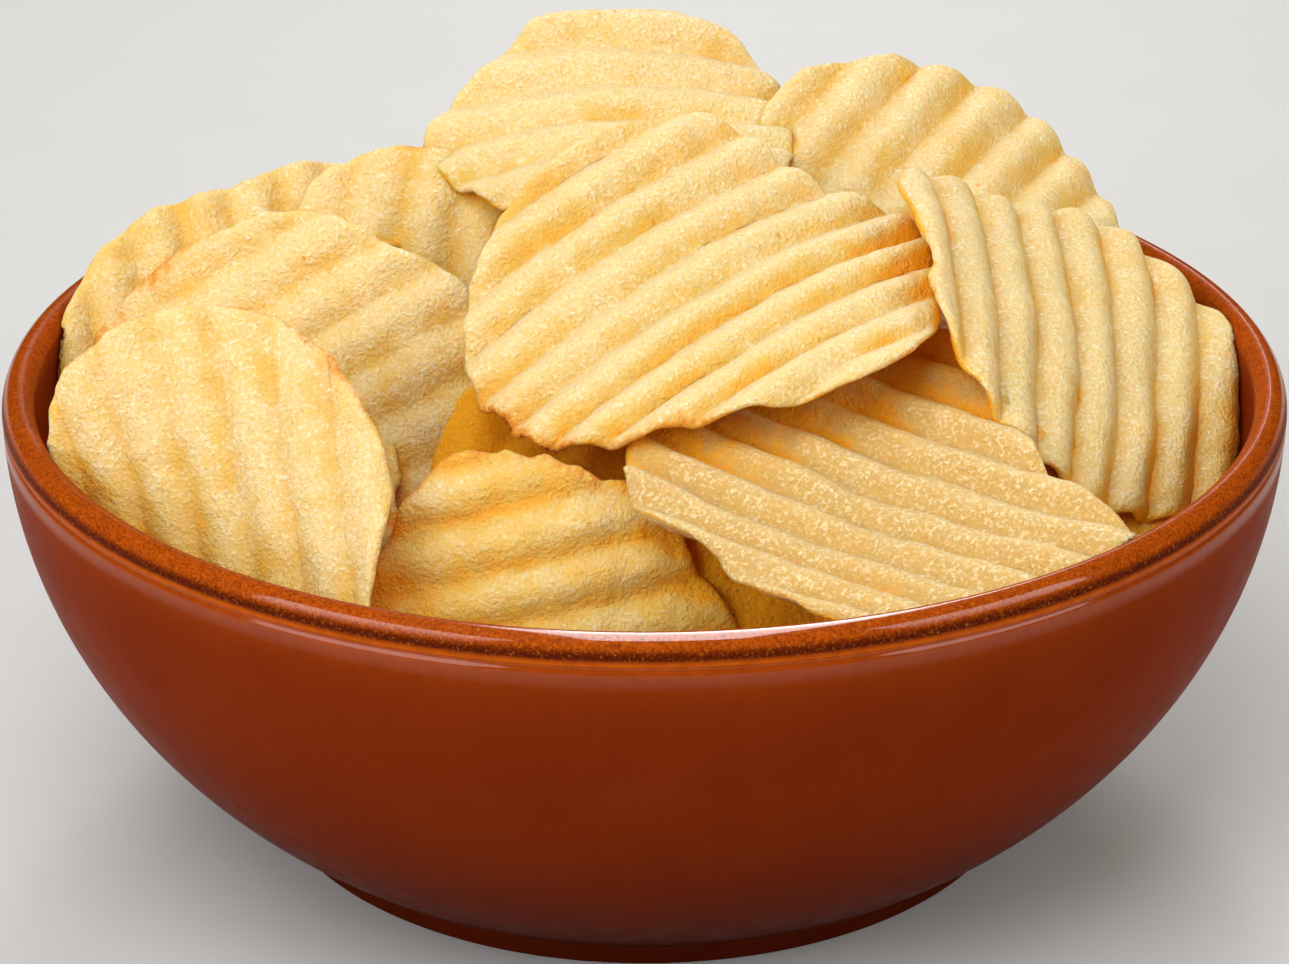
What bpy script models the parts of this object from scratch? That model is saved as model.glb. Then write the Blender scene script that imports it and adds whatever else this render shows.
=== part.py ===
"""A bowl of ridged crisps: a turned, glazed bowl and the heap of crisps that fills it.

Metres, +Z up. The origin is the middle of the foot's underside. The side of the bowl that the
big crisps face is at -Y.
"""

import math
from collections import namedtuple

import bmesh
import bpy
from mathutils import Vector

MM = 0.001
MERGE_DISTANCE = 0.00005  # metres

# Bowl, in millimetres.
RIM_RADIUS = 80.0
RIM_HEIGHT = 59.5
WIDEST_HEIGHT = 56.5  # where the body's elliptical side is upright
BODY_DROP = 68.2  # the side's vertical half axis: the ellipse would close this far below
WALL = 4.0
LIP_WIDTH = 4.2
LIP_CROWN = 0.2  # the share of the lip's width that lies outside its crown
LIP_DROP = 2.4  # from the lip's crown down to the crease inside
GROOVE_HEIGHT = 55.9
GROOVE_DEPTH = 0.35
GROOVE_WIDTH = 0.9
FOOT_RADIUS = 48.8
FOOT_HEIGHT = 2.6
FOOT_RING_WIDTH = 5.0
FOOT_EDGE = 0.5  # the chamfer on the ring's outer edges
FOOT_RECESS = 1.4
FOOT_RECESS_SLOPE = 1.2  # how far the recess's side leans inwards
FLOOR_HEIGHT = 7.0
BOWL_STEPS = 40
CROWDING = 1.5  # how strongly a profile's points crowd towards the bottom, where it curves most
SHARP_ANGLE = 40.0

# Heap, in millimetres.
GAP = 0.3  # between the heap and the bowl's inside
CRISP_THICKNESS = 2.0
RIDGE_HEIGHT = 1.15  # half the height from a valley to a crest
MOUND_EDGE_HEIGHT = 42.0
MOUND_SHOULDER = (43.0, 48.5)  # radius and height
MOUND_TOP_HEIGHT = 50.0
MOUND_STEPS = 32
LAST_FOLD = 0.93  # how far out the last fold of a crisp lies, as a share of its outline's reach
CEILING = 120.0

# The lumps of buried crisps that carry those on top. A lump has its middle `at` and half sizes level,
# up its slope and through it. `facing` and `tilt` lean it like the crisp that it carries.
Lump = namedtuple("Lump", "at half_sizes facing tilt", defaults=(0, 0))

LUMPS = (
    Lump((12, 11, 40), (34, 34, 41)),
    Lump((-2, 42, 56), (34, 18, 20)),
    Lump((50, 2, 52), (21, 26, 11), 58, 42),
    Lump((-32, 29, 56), (25, 20, 12), -12, 50),
    Lump((-41, 8, 54), (22, 19, 10), -12, 54),
    Lump((-3, -4, 58), (21, 18, 12), -2, 22),
)

# A crisp lies round its middle `at`. `facing` turns its upper side from the front (-Y) towards +X,
# `tilt` leans it from lying flat (0) to upright (90), and `ridges` turns its ridges from level, all
# in degrees. `bends` curve it across the ridges, along them, and in twist, per metre. `outline` is
# its radius every 30 degrees, from the level direction on its right, anticlockwise.
Crisp = namedtuple("Crisp", "name at facing tilt ridges bends pitch shift outline")

CRISPS = (
    Crisp("middle", (7, -9, 73), -2, 22, 41, (13, -11, 3), 6.0, 4.5,
          (29, 30, 24, 27, 25, 26, 28, 31, 30, 26, 27, 30)),
    Crisp("right", (55, -5, 62), 58, 42, 37, (3, -9, -7), 6.4, 1.7,
          (26, 28, 25, 32, 26, 27, 25, 23, 23, 24, 26, 26)),
    Crisp("front_right", (26, -40, 57), 0, 9, -33, (9, 5, 0), 6.3, 2.4,
          (24, 20, 30, 36, 33, 30, 28, 23, 25, 31, 27, 36)),
    Crisp("front", (-10, -46, 41), 0, 60, 12, (-4, -5, 0), 6.5, 4.1,
          (22, 19, 21, 22, 26, 24, 26, 26, 26, 26, 26, 25)),
    Crisp("front_left", (-52, -35, 53), -28, 63, 120, (-7, -2, 15), 6.5, 1.2,
          (26, 24, 23, 25, 26, 25, 21, 24, 24, 26, 27, 29)),
    Crisp("left", (-43, -3, 59), -12, 54, 34, (-4, -4, 8), 6.9, 2.6,
          (24, 23, 19, 20, 21, 24, 29, 27, 26, 26, 26, 23)),
    Crisp("top", (-4, 31, 79.3), 2, 20, 6, (18, -15, -6), 6.5, 1.4,
          (24, 26, 25, 21, 20, 20, 25, 21, 20, 22, 24, 24)),
    Crisp("back_right", (38, 29, 71), 23, 26, 37, (-1, -10, 11), 7.2, 5.7,
          (26, 26, 23, 23, 25, 25, 26, 26, 26, 26, 26, 27)),
    Crisp("far_left", (-48, 16, 54), 20, 50, 89, (-6, -4, 0), 6.9, 2.2,
          (24, 27, 28, 23, 24, 26, 29, 26, 24, 24, 24, 24)),
    Crisp("back_left", (-28, 20, 63), -5, 53, 85, (-4, -4, 0), 7.5, 4.6,
          (17, 16, 17, 17, 18, 20, 18, 22, 26, 26, 24, 22)),
    Crisp("rear_left", (-32, 48, 58), 208, 40, 30, (4, -8, 4), 6.5, 1.0,
          (26, 25, 24, 25, 26, 24, 23, 22, 24, 25, 26, 27)),
    Crisp("rear", (4, 52, 62), 178, 38, 80, (6, -8, -5), 6.5, 2.0,
          (27, 26, 24, 25, 27, 28, 26, 25, 24, 24, 24, 26)),
    Crisp("rear_right", (37, 46, 56), 148, 36, -35, (5, -8, 4), 6.5, 0.0,
          (25, 26, 26, 25, 25, 25, 24, 22, 22, 22, 24, 25)),
)


def clear_scene():
    for obj in list(bpy.data.objects):
        bpy.data.objects.remove(obj, do_unlink=True)


def new_collection(name):
    collection = bpy.data.collections.new(name)
    bpy.context.scene.collection.children.link(collection)
    return collection


def material(name, colour, roughness, coat=0.0):
    made = bpy.data.materials.new(name)
    made.use_nodes = True
    shader = made.node_tree.nodes["Principled BSDF"]
    shader.inputs["Base Color"].default_value = (*colour, 1.0)
    shader.inputs["Roughness"].default_value = roughness
    shader.inputs["Metallic"].default_value = 0.0
    shader.inputs["Coat Weight"].default_value = coat
    return made


def mesh_object(name, shape, collection, finish=None):
    """Puts a bmesh into a new object."""
    mesh = bpy.data.meshes.new(name)
    shape.to_mesh(mesh)
    shape.free()
    obj = bpy.data.objects.new(name, mesh)
    collection.objects.link(obj)
    if finish:
        mesh.materials.append(finish)
    return obj


def turned(name, profile, steps, collection, finish=None):
    """Turns a profile of (radius, height) in millimetres about the Z axis."""
    shape = bmesh.new()
    points = [shape.verts.new((r * MM, 0.0, z * MM)) for r, z in profile]
    for first, second in zip(points, points[1:]):
        shape.edges.new((first, second))
    obj = mesh_object(name, shape, collection, finish)
    screw = obj.modifiers.new("turn", "SCREW")
    screw.axis = "Z"
    screw.steps = steps
    screw.render_steps = steps
    screw.use_merge_vertices = True
    screw.merge_threshold = MERGE_DISTANCE
    return obj


def helper(obj):
    obj.hide_render = True
    obj.display_type = "WIRE"
    return obj


def body_radius(height):
    """The outer radius of the bowl's elliptical side."""
    return RIM_RADIUS * math.sqrt(1.0 - ((WIDEST_HEIGHT - height) / BODY_DROP) ** 2)


def inner_wall(gap=0.0, top=None, count=8):
    """The inside from the middle of the floor up the wall, as (radius, height)."""
    top = RIM_HEIGHT - LIP_DROP if top is None else top
    flat = FLOOR_HEIGHT + gap
    points = [(0.0, flat)]
    for i in range(count):
        share = i / (count - 1)
        height = flat + (top - flat) * share**CROWDING
        points.append((body_radius(min(height, WIDEST_HEIGHT)) - WALL - gap, height))
    return points


def lip_profile(count=6):
    """The rounded lip, from the crease inside, over its crown, to the widest point outside."""
    crease = body_radius(WIDEST_HEIGHT) - WALL
    crown = RIM_RADIUS - LIP_CROWN * LIP_WIDTH
    drop = RIM_HEIGHT - WIDEST_HEIGHT
    points = []
    for i in range(1, count + 1):
        turn = math.pi * i / count
        if turn < math.pi / 2:
            r = crown - (crown - crease) * math.cos(turn)
            z = RIM_HEIGHT - LIP_DROP * (1.0 - math.sin(turn))
        else:
            r = crown - (RIM_RADIUS - crown) * math.cos(turn)
            z = RIM_HEIGHT - drop * (1.0 - math.sin(turn))
        points.append((r, z))
    return points


def outer_wall(count=8):
    """The outside from the groove under the lip down to the foot."""
    top = GROOVE_HEIGHT - GROOVE_WIDTH
    points = [
        (body_radius(GROOVE_HEIGHT) - GROOVE_DEPTH, GROOVE_HEIGHT),
        (body_radius(top), top),
    ]
    for i in range(1, count + 1):
        share = (1.0 - i / count) ** CROWDING
        height = FOOT_HEIGHT + (top - FOOT_HEIGHT) * share
        points.append((body_radius(height), height))
    return points


def foot_profile():
    """The foot ring and the shallow recess inside it."""
    inner = FOOT_RADIUS - FOOT_RING_WIDTH
    return [
        (FOOT_RADIUS, FOOT_HEIGHT - FOOT_EDGE),
        (FOOT_RADIUS, FOOT_EDGE),
        (FOOT_RADIUS - FOOT_EDGE, 0.0),
        (inner, 0.0),
        (inner - FOOT_RECESS_SLOPE, FOOT_RECESS),
        (0.0, FOOT_RECESS),
    ]


def build_bowl(collection):
    glaze = material("bowl_glaze", (0.30, 0.075, 0.02), 0.3, coat=0.6)
    profile = inner_wall() + lip_profile() + outer_wall() + foot_profile()
    bowl = turned("bowl", profile, BOWL_STEPS, collection, glaze)
    bowl.data.shade_smooth()
    bowl.data.set_sharp_from_angle(angle=math.radians(SHARP_ANGLE))
    return bowl


def outline_radius(outline, turn):
    """The smooth closed curve through the outline's radii, at an angle in radians."""
    place = (turn / (2 * math.pi)) % 1.0 * len(outline)
    i = int(place)
    f = place - i
    before, a, b, after = (outline[(i + k) % len(outline)] for k in (-1, 0, 1, 2))
    slope_a = (b - before) / 2
    slope_b = (after - a) / 2
    return (
        a * (2 * f**3 - 3 * f**2 + 1)
        + slope_a * (f**3 - 2 * f**2 + f)
        + b * (3 * f**2 - 2 * f**3)
        + slope_b * (f**3 - f**2)
    )


def flat_outline(crisp, count=180):
    """The outline's points as (across the ridges, along the ridges)."""
    ridges = math.radians(crisp.ridges)
    points = []
    for i in range(count):
        turn = 2 * math.pi * i / count
        r = outline_radius(crisp.outline, turn)
        points.append((r * math.sin(turn - ridges), r * math.cos(turn - ridges)))
    return points


def span_along(points, across):
    """How far the outline reaches along the ridges, both ways, on one line across them."""
    hits = []
    for (u0, v0), (u1, v1) in zip(points, points[1:] + points[:1]):
        if (u0 - across) * (u1 - across) <= 0 and u0 != u1:
            hits.append(v0 + (v1 - v0) * (across - u0) / (u1 - u0))
    return min(hits), max(hits)


def slope_axes(facing, tilt):
    """Unit vectors level across a slope, up it, and out of its upper side."""
    facing = math.radians(facing)
    tilt = math.radians(tilt)
    normal = Vector((
        math.sin(tilt) * math.sin(facing),
        -math.sin(tilt) * math.cos(facing),
        math.cos(tilt),
    ))
    level = Vector((math.cos(facing), math.sin(facing), 0.0))
    return level, normal.cross(level), normal


def crisp_axes(crisp):
    """Unit vectors across the ridges, along them, and out of the crisp's upper side."""
    level, upslope, normal = slope_axes(crisp.facing, crisp.tilt)
    ridges = math.radians(crisp.ridges)
    along = math.cos(ridges) * level + math.sin(ridges) * upslope
    across = math.cos(ridges) * upslope - math.sin(ridges) * level
    return across, along, normal


def crisp_height(crisp, across, along):
    """How far the bent sheet stands off the crisp's plane, without its ridges."""
    bend_across, bend_along, twist = (b * MM for b in crisp.bends)
    return bend_across * across**2 / 2 + bend_along * along**2 / 2 + twist * across * along


def build_crisp(crisp, collection, lengthwise=4):
    """A corrugated sheet with a fold at every crest and valley, thickened by Solidify."""
    points = flat_outline(crisp)
    lowest = LAST_FOLD * min(u for u, v in points)
    highest = LAST_FOLD * max(u for u, v in points)
    half_pitch = crisp.pitch / 2
    first = math.ceil((lowest - crisp.shift) / half_pitch)
    last = math.floor((highest - crisp.shift) / half_pitch)
    folds = range(first, last + 1)
    across_axis, along_axis, normal = crisp_axes(crisp)

    shape = bmesh.new()
    bmesh.ops.create_grid(shape, x_segments=len(folds) - 1, y_segments=lengthwise, size=0.5)
    for vert in shape.verts:
        fold = folds[round((vert.co.x + 0.5) * (len(folds) - 1))]
        u = crisp.shift + fold * half_pitch
        low, high = span_along(points, u)
        v = low + (high - low) * (vert.co.y + 0.5)
        ridge = -RIDGE_HEIGHT if fold % 2 == 0 else RIDGE_HEIGHT
        w = crisp_height(crisp, u, v) + ridge
        vert.co = (Vector(crisp.at) + u * across_axis + v * along_axis + w * normal) * MM
    obj = mesh_object("crisp_" + crisp.name, shape, collection)
    solidify = obj.modifiers.new("thickness", "SOLIDIFY")
    solidify.thickness = CRISP_THICKNESS * MM
    solidify.offset = 0.0
    return helper(obj)


def build_lump(name, lump, collection):
    """Buried crisps, as one rounded lump."""
    axes = slope_axes(lump.facing, lump.tilt)
    shape = bmesh.new()
    bmesh.ops.create_icosphere(shape, subdivisions=2, radius=1.0)
    for vert in shape.verts:
        place = Vector(lump.at)
        for axis, half, share in zip(axes, lump.half_sizes, vert.co):
            place += half * share * axis
        vert.co = place * MM
    return helper(mesh_object(name, shape, collection))


def build_crisps(collection, cutters):
    """The heap as one solid: a mound that fills the bowl, buried lumps, and the crisps that show."""
    fried = material("crisps_fried", (0.83, 0.60, 0.24), 0.55)
    mound = inner_wall(GAP, MOUND_EDGE_HEIGHT, count=5)
    mound += [MOUND_SHOULDER, (0.0, MOUND_TOP_HEIGHT)]
    heap = turned("crisps", mound[::-1], MOUND_STEPS, collection, fried)

    for crisp in CRISPS:
        build_crisp(crisp, cutters)
    for number, lump in enumerate(LUMPS, start=1):
        build_lump("lump_" + str(number), lump, cutters)
    join = heap.modifiers.new("join", "BOOLEAN")
    join.operation = "UNION"
    join.solver = "EXACT"
    join.operand_type = "COLLECTION"
    join.collection = cutters
    return heap


def trim_to_bowl(heap, cutters):
    """Cuts away what would reach into the bowl's wall."""
    inside = inner_wall(GAP, WIDEST_HEIGHT, count=10)
    inside += [(inside[-1][0], CEILING), (0.0, CEILING)]
    envelope = turned("bowl_inside", inside[::-1], BOWL_STEPS, cutters)
    helper(envelope)
    trim = heap.modifiers.new("trim", "BOOLEAN")
    trim.operation = "INTERSECT"
    trim.solver = "EXACT"
    trim.object = envelope


def main():
    clear_scene()
    part = new_collection("bowl_of_crisps")
    joined = new_collection("crisps_joined")
    cutters = new_collection("cutters")
    build_bowl(part)
    heap = build_crisps(part, joined)
    trim_to_bowl(heap, cutters)


main()
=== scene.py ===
"""The looks of a bowl of crisps: a turned bowl in a speckled glaze, and a heap of ridged crisps.

Sizes are in millimetres unless a name says otherwise, and become metres where a mesh is made. The
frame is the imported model's: +Z up, the origin in the middle of the foot, the front at -Y.
"""

import math
from collections import namedtuple

import bmesh
import bpy
import numpy as np
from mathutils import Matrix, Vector
from mathutils.bvhtree import BVHTree


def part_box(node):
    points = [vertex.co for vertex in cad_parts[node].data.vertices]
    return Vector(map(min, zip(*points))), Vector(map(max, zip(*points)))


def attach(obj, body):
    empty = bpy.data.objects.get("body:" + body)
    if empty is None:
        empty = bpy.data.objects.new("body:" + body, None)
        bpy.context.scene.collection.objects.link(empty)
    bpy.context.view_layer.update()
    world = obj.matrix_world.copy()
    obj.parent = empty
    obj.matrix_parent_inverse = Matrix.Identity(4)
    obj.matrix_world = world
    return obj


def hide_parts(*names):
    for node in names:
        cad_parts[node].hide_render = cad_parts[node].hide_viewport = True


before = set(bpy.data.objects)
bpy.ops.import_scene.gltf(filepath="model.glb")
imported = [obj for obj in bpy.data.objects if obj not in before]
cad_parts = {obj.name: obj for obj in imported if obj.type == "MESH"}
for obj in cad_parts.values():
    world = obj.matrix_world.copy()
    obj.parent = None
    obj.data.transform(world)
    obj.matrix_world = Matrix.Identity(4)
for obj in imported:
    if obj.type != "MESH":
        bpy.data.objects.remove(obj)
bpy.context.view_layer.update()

MM = 0.001

# The bowl.
RIM_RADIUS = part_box("bowl")[1].x / MM
RIM_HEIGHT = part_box("bowl")[1].z / MM
WIDEST_HEIGHT = 56.5
BODY_DROP = 68.2
WALL = 4.0
LIP_WIDTH = 4.2
LIP_CROWN = 0.45
LIP_DROP = 2.4
CROWN_RADIUS = RIM_RADIUS - LIP_CROWN * LIP_WIDTH
CREASE_HEIGHT = RIM_HEIGHT - LIP_DROP
GROOVE_HEIGHT = 55.9
GROOVE_DEPTH = 0.35
GROOVE_WIDTH = 0.9
LINE_HEIGHT = 56.5  # the thin, bright line of glaze under the lip
FOOT_RADIUS = 48.8
FOOT_HEIGHT = 2.6
FOOT_RING_WIDTH = 5.0
FOOT_EDGE = 0.5
FOOT_RECESS = 1.4
FOOT_RECESS_SLOPE = 1.2
FLOOR_HEIGHT = 7.0
BOWL_STEPS = 224

# The heap.
CRISP_THICKNESS = 1.25
EDGE_ROUNDING = 1.2  # how far in from its edge a crisp has its full thickness
EDGE_SMOOTHING = 1.5  # how far in from its edge a crisp has its full blisters and crumples
CURL_WIDTH = 3.2  # how far in from its edge a crisp curls
RAG_START = 0.75  # the share of its radius from which a crisp's outline is ragged
BROWN_WIDTH = 0.35  # of the brown line on a crisp's edge
TOAST_WIDTHS = (0.6, 3.0)  # of a toasted edge: its dark line, and how far it fades inwards
WALL_GAP = 0.15
RIM_FLARE = 1.2  # how much further out a crisp may lie for each millimetre above the rim
CORE_EDGE_HEIGHT = 27.0
CORE_TOP_HEIGHT = 40.0
CORE_GAP = 0.4
CORE_STEPS = 120
CORE_RINGS = 60
CORE_SEED = 901
BLISTER_COUNT = 26
BLISTER_RADII = (1.4, 4.2)
BLISTER_RISES = (0.04, 0.1)  # in shares of the radius

# What is near a point and hides it is searched for along rays, for the crisps' painted shade.
SHADE_RAYS = 20
SHADE_REACH = 26.0
SHADE_LIFT = 0.5  # how far above the point they start
SHADE_STEP = 4  # grid points between those that are searched

# A crisp lies round its middle `at`. `facing` turns its upper side from the front (-Y) towards +X,
# `tilt` leans it from lying flat (0) to upright (90), and `ridges` turns its ridges from level, all
# in degrees. `bends` curve it across the ridges, along them, and in twist, per metre. Its ridges
# are `pitch` apart and moved by `shift`. `outline` is its radius every 30 degrees, from the level
# direction on its right, anticlockwise.
Crisp = namedtuple("Crisp", "name at facing tilt ridges bends pitch shift outline")

# How a crisp looks. `relief` is half the height of its ridges, and `crest` shapes them: under 1 the
# crests are broad and the valleys narrow. `valley` is how golden the valleys are, partly as the
# crisp's colour and partly as painted shade, and `lean` how far it lies up the shaded lower flank,
# in shares of the pitch. `amber` makes all of it deeper, and on the crisps deep in shade it is
# a painted glow of light through the crisps above. `dull` makes all of it duller. `toast` browns
# the edge in places, `ragged` breaks it and `curl` turns it down, as (direction, spread, amount).
Look = namedtuple("Look", "relief crest valley lean amber dull toast ragged curl",
                  defaults=(0.85, 0.8, 0.5, 0.05, 0.0, 0.0, (), (), ()))

# Noise over a crisp's face: its amount, the size of its features across and along the ridges, its
# shift in the table of random numbers, and what it adds to the crisp's seed.
FaceNoise = namedtuple("FaceNoise", "amount across along shift seed")
RIDGE_NOISE = FaceNoise(0.2, 6, 14, 9, 17)
WAVE_NOISE = FaceNoise(0.32, 11, 11, 7, 4)
DENT_NOISE = FaceNoise(0.12, 4, 5, 11, 5)
THICKNESS_NOISE = FaceNoise(0.18, 6, 6, 3, 6)
CLOUD_NOISE = FaceNoise(0.16, 9, 9, 2, 9)
MOTTLE_NOISE = FaceNoise(0.10, 3, 3, 4, 10)
SPOT_NOISE = FaceNoise(1.0, 4, 4, 12, 19)
VALLEY_NOISE = FaceNoise(0.6, 4, 7, 0, 11)
DULL_NOISE = FaceNoise(0.8, 1.6, 2.4, 8, 18)
TOAST_NOISE = FaceNoise(0.5, 2.5, 2.5, 6, 13)
# These two move the ridges. They are read along the ridges first, so their sizes are swapped.
WANDER_NOISE = FaceNoise(0.4, 17, 30, 5, 3)
WOBBLE_NOISE = FaceNoise(0.25, 7, 6, 5, 16)

# Noise round a crisp's edge, finer where `fineness` is more.
EdgeNoise = namedtuple("EdgeNoise", "amount fineness shift seed")
RAG_NOISE = EdgeNoise(0.45, 5, 9, 1)
FINE_RAG_NOISE = EdgeNoise(0.22, 14, 30, 2)
TEAR_NOISE = EdgeNoise(0.8, 7, 40, 14)
FINE_TEAR_NOISE = EdgeNoise(0.35, 20, 60, 15)
BROWN_NOISE = EdgeNoise(0.35, 4, 20, 12)

# The crisps that show, each with its look.
SHOWN = (
    (Crisp("middle", (7, -9, 73), -2, 22, 41, (13, -11, 3), 6.0, 4.5,
           (29, 30, 24, 27, 25, 26, 28, 31, 30, 26, 27, 30)),
     Look(0.88, 0.75, 0.6, 0.14, 0.0, 0.12, ((225, 35, 0.8), (265, 25, 0.4)),
          ((240, 45, 1.3), (70, 40, 0.5)), ((310, 45, 1.6),))),
    (Crisp("right", (55, -5, 62), 58, 42, 37, (3, -9, -7), 6.4, 1.7,
           (26, 28, 25, 32, 26, 27, 25, 23, 23, 24, 26, 26)),
     Look(0.85, 0.65, 0.6, 0.08, 0.05, 0.5, ((75, 20, 0.4),), ((200, 30, 0.6),))),
    (Crisp("front_right", (26, -40, 57), 0, 9, -33, (9, 5, 0), 6.3, 2.4,
           (24, 22, 30, 36, 33, 30, 28, 23, 25, 31, 27, 36)),
     Look(0.95, 1.0, 0.42, 0.12, 0.05, 1.9, (), ((80, 30, 1.2), (240, 60, 0.5)))),
    (Crisp("front", (-10, -46, 41), 0, 60, 12, (-4, -5, 0), 6.5, 4.1,
           (22, 19, 21, 22, 26, 24, 26, 26, 26, 26, 26, 25)),
     Look(0.6, 1.0, 0.4, 0.1, 0.45, 0.0, ((95, 75, 0.6),), ((95, 55, 1.0), (20, 25, 0.5)))),
    (Crisp("front_left", (-52, -35, 53), -28, 63, 120, (-7, -2, 15), 6.5, 1.2,
           (26, 24, 23, 25, 26, 25, 21, 24, 24, 26, 27, 29)),
     Look(0.5, 0.6, 0.26, 0.1, 0.12, 0.12, ((60, 50, 0.5),))),
    (Crisp("left", (-43, -3, 59), -12, 54, 34, (-4, -4, 8), 6.9, 2.6,
           (24, 23, 19, 20, 21, 24, 29, 27, 26, 26, 26, 23)),
     Look(0.45, 0.9, 0.25, 0.1, 0.12, 0.0, ((160, 50, 0.9),), ((110, 40, 0.5),))),
    (Crisp("top", (-4, 31, 78.95), 2, 20, 6, (18, -15, -6), 6.5, 1.4,
           (24, 26, 25, 21, 20, 20, 25, 21, 20, 22, 24, 24)),
     Look(0.85, 0.8, 0.3, 0.05, 0.03, 0.0, (), ((0, 30, 0.5),))),
    (Crisp("back_right", (38, 29, 71), 23, 26, 37, (-1, -10, 11), 7.2, 5.7,
           (26, 26, 23, 23, 25, 25, 26, 26, 26, 26, 26, 27)),
     Look(0.9, 0.8, 0.4, 0.1, 0.15, 0.25)),
    (Crisp("far_left", (-48, 16, 54), 20, 50, 89, (-6, -4, 0), 6.9, 2.2,
           (24, 27, 28, 23, 24, 26, 29, 26, 24, 24, 24, 24)),
     Look(0.5, 0.9, 0.25, 0.05, 0.28, 0.05)),
    (Crisp("back_left", (-28, 20, 63), -5, 53, 85, (-4, -4, 0), 7.5, 4.6,
           (17, 16, 17, 17, 18, 20, 18, 22, 26, 26, 24, 22)),
     Look(0.6, 0.9, 0.3, 0.05, 0.2, 0.0, ((90, 60, 0.3),))),
    # This crisp's deep colour is painted glow, for one in the shade of the crisps above it.
    (Crisp("low_right", (36, -15, 56), 8, 22, -46, (-3, -6, 0), 6.4, 4.5,
           (14, 18, 22, 24, 26, 26, 26, 26, 26, 24, 20, 16)),
     Look(0.8, 1.0, 0.4, 0.1, 0.9)),
)

# Crisps deep in the heap, which show through its gaps.
BURIED = (
    Crisp("under_front", (-12, -41, 36), 5, 55, 10, (-4, -5, 0), 6.5, 2.0, (23,) * 12),
    Crisp("under_front_right", (20, -41, 42), 8, 55, 20, (-3, -3, 0), 7.5, 0.0,
          (26, 24, 20, 18, 18, 20, 22, 24, 24, 24, 24, 24)),
    Crisp("hollow", (-6, -20, 50), 5, 45, 60, (-3, -5, 0), 6.5, 0.0, (20,) * 12),
)

# Crisps that lie over the core along the wall.
LOW = (
    Crisp("low_left", (-52, -14, 42), -65, 20, 25, (6, -8, 4), 6.5, 1.0,
          (24, 25, 23, 24, 26, 25, 23, 22, 24, 25, 26, 25)),
    Crisp("low_front_left", (-36, -49, 34.5), -35, 20, -20, (6, -8, -4), 6.5, 2.0,
          (25, 24, 23, 25, 24, 23, 24, 26, 25, 24, 22, 24)),
    Crisp("low_front", (9, -57, 33), 8, 17, 50, (6, -8, 3), 6.5, 0.0,
          (24, 23, 22, 20, 21, 23, 25, 24, 22, 22, 23, 25)),
    Crisp("low_front_right", (43, -47, 37), 42, 20, 5, (6, -8, 5), 6.5, 3.0,
          (23, 25, 24, 22, 23, 25, 24, 23, 22, 24, 25, 24)),
    Crisp("low_far_right", (57, -17, 46), 55, 18, -30, (6, -8, 2), 6.5, 1.0,
          (22, 23, 22, 21, 22, 24, 23, 21, 20, 21, 22, 23)),
)

# Crisps behind the heap's top, which only other views show.
REAR = (
    Crisp("rear_left", (-32, 48, 58), 208, 40, 30, (4, -8, 4), 6.5, 1.0,
          (26, 25, 24, 25, 26, 24, 23, 22, 24, 25, 26, 27)),
    Crisp("rear", (4, 52, 62), 178, 38, 80, (6, -8, -5), 6.5, 2.0,
          (27, 26, 24, 25, 27, 28, 26, 25, 24, 24, 24, 26)),
    Crisp("rear_right", (37, 46, 56), 148, 36, -35, (5, -8, 4), 6.5, 0.0,
          (25, 26, 26, 25, 25, 25, 24, 22, 22, 22, 24, 25)),
    Crisp("rear_far_left", (-52, 27, 51), 245, 40, 60, (3, -8, 0), 6.5, 3.0,
          (23, 24, 24, 25, 24, 23, 22, 21, 21, 22, 22, 23)),
    Crisp("rear_far_right", (50, 24, 50), 115, 38, 20, (3, -8, 0), 6.5, 1.0,
          (23, 24, 24, 25, 24, 23, 22, 22, 22, 22, 22, 23)),
)

# The crisps deep in the heap are painted a deep orange glow, for light through the crisps above.
BURIED_GLOW_LOOK = Look(0.4, 1.0, 0.2, 0.0, 1.5)
LOW_LOOK = Look(0.8, 0.8, 0.35, 0.05, 0.25)
REAR_LOOK = Look(0.85, 0.8, 0.3, 0.05, 0.12, 0.1)

# Grid points across and along the ridges.
SHOWN_GRID = (124, 84)
REAR_GRID = (104, 70)
DEEP_GRID = (80, 54)

# Each crisp of a group draws its noise from its own seed, SEED_STEP after the one before.
SEED_STEP = 20
SHOWN_SEED = 100
BURIED_SEED = 500
LOW_SEED = 600
REAR_SEED = 700


# ---------------------------------------------------------------- meshes

def quad_mesh(name, points, quads, values, finish):
    """A smooth mesh object from points in millimetres and quads, with a value per point by name."""
    mesh = bpy.data.meshes.new(name)
    mesh.vertices.add(len(points))
    mesh.vertices.foreach_set("co", (points * MM).astype(np.float32).ravel())
    mesh.loops.add(4 * len(quads))
    mesh.loops.foreach_set("vertex_index", quads.astype(np.int32).ravel())
    mesh.polygons.add(len(quads))
    mesh.polygons.foreach_set("loop_start", np.arange(0, 4 * len(quads), 4, dtype=np.int32))
    mesh.update(calc_edges=True)
    for key, value in values.items():
        layer = mesh.attributes.new(key, "FLOAT", "POINT")
        layer.data.foreach_set("value", np.asarray(value, np.float32).ravel())
    mesh.validate()
    mesh.shade_smooth()
    mesh.materials.append(finish)
    obj = bpy.data.objects.new(name, mesh)
    bpy.context.scene.collection.objects.link(obj)
    return obj


def grid_quads(index):
    """The quads between neighbours in a grid of point numbers."""
    corners = [index[:-1, :-1], index[1:, :-1], index[1:, 1:], index[:-1, 1:]]
    return np.stack(corners, axis=-1).reshape(-1, 4)


def ring_quads(steps, count):
    """The quads of a closed ring of `steps` lines of `count` points."""
    i, j = np.meshgrid(np.arange(steps), np.arange(count - 1), indexing="ij")
    here = i * count + j
    beside = (i + 1) % steps * count + j
    return np.stack([here, here + 1, beside + 1, beside], axis=-1).reshape(-1, 4)


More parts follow.
